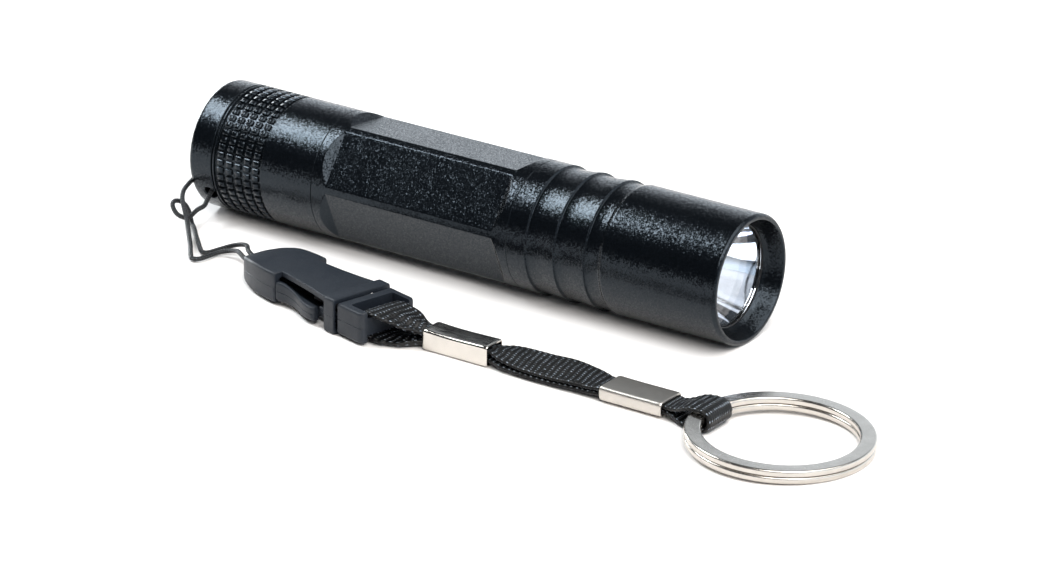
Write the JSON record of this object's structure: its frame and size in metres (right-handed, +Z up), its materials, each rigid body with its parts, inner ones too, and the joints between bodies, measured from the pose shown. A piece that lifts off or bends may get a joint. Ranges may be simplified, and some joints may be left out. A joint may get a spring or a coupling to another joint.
{
  "type": "keychain flashlight",
  "caption": "Slim black aluminium pocket flashlight with a hexagonal grip, lens and reflector head, tail button, and a cord and webbing lanyard with side-release buckle and split ring.",
  "frame": {"origin": "on the surface that the flashlight lies on, under the middle of its length; the lanyard is not counted", "axes": "+X along the beam, from the tail to the lens; +Z up; the lanyard lies on the -Y side"},
  "size_m": [0.1383, 0.0542, 0.0205],
  "materials": {
    "anodised_black": "satin, bead blasted",
    "black_rubber": "matt moulded silicone rubber",
    "buckle_plastic": "fine moulded grain",
    "white_plastic": "moulded",
    "bare_aluminium": "turned",
    "brass": "turned and sprung",
    "cell_wrap": "plain shrink sleeve",
    "nickel_plate": "satin nickel plate",
    "clear_lens": "polished",
    "mirror_coat": "smooth vacuum coated",
    "phosphor": "silicone dome over yellow phosphor",
    "green_board": "solder mask",
    "black_nylon": "woven nylon"
  },
  "bodies": {
    "tail": {"tail_cap": "anodised_black", "boot_flange": "black_rubber", "switch_housing": "buckle_plastic", "switch_ring": "bare_aluminium", "contact_plate": "brass", "tail_spring": "brass", "lanyard_cord": "black_nylon", "buckle_socket": "buckle_plastic", "buckle_plug": "buckle_plastic", "strap_webbing": "black_nylon", "crimp_buckle_end": "nickel_plate", "crimp_ring_end": "nickel_plate"},
    "button": {"button_pad": "black_rubber", "switch_plunger": "white_plastic"},
    "cell": {"battery_can": "cell_wrap", "battery_nub": "nickel_plate"},
    "tube": {"body_tube": "anodised_black", "tail_o_ring": "black_rubber", "head_o_ring": "black_rubber"},
    "led_module": {"reflector": "mirror_coat", "led_dome": "phosphor", "led_package": "white_plastic", "led_board": "white_plastic", "led_pill": "brass", "driver_board": "green_board", "driver_spring": "brass"},
    "head": {"head_shell": "anodised_black", "lens": "clear_lens", "lens_gasket": "black_rubber"},
    "near_prong": {"prong_near": "buckle_plastic"},
    "far_prong": {"prong_far": "buckle_plastic"},
    "strap_end": {"strap_loop": "black_nylon"},
    "ring": {"split_ring": "nickel_plate"}
  },
  "joints": [
    {"name": "button_press", "type": "slide", "parent": "tail", "child": "button", "axis": [1, 0, 0], "range_m": [0, 0.0014], "stiffness_N_per_m": 300},
    {"name": "tube_travel", "type": "slide", "parent": "tail", "child": "cell", "axis": [1, 0, 0], "range_m": [0, 0.005]},
    {"name": "tube_turn", "type": "hinge", "parent": "cell", "child": "tube", "pos_m": [0, 0, 0.01025], "axis": [1, 0, 0], "range_deg": [0, 1802]},
    {"name": "head_travel", "type": "slide", "parent": "tube", "child": "led_module", "axis": [1, 0, 0], "range_m": [0, 0.005]},
    {"name": "head_turn", "type": "hinge", "parent": "led_module", "child": "head", "pos_m": [0, 0, 0.01025], "axis": [1, 0, 0], "range_deg": [0, 1802]},
    {"name": "near_prong_squeeze", "type": "hinge", "parent": "tail", "child": "near_prong", "pos_m": [-0.00181, -0.03356, 0.0025], "axis": [0, 0, -1], "range_deg": [0, 5]},
    {"name": "far_prong_squeeze", "type": "hinge", "parent": "tail", "child": "far_prong", "pos_m": [0.00027, -0.02573, 0.0025], "axis": [0, 0, 1], "range_deg": [0, 5]},
    {"name": "ring_swing", "type": "hinge", "parent": "tail", "child": "strap_end", "pos_m": [0.0554, -0.03, 0.0016], "axis": [0, -1, 0], "range_deg": [0, 90]},
    {"name": "ring_spin", "type": "hinge", "parent": "strap_end", "child": "ring", "pos_m": [0.0737, -0.03, 0.0015], "axis": [0.0314, 0, 0.9995], "continuous": true}
  ],
  "couplings": [
    {"joint": "tube_turn", "follows": "tube_travel", "rad_per_m": 6283.2},
    {"joint": "head_turn", "follows": "head_travel", "rad_per_m": 6283.2},
    {"joint": "far_prong_squeeze", "follows": "near_prong_squeeze", "ratio": 1}
  ]
}
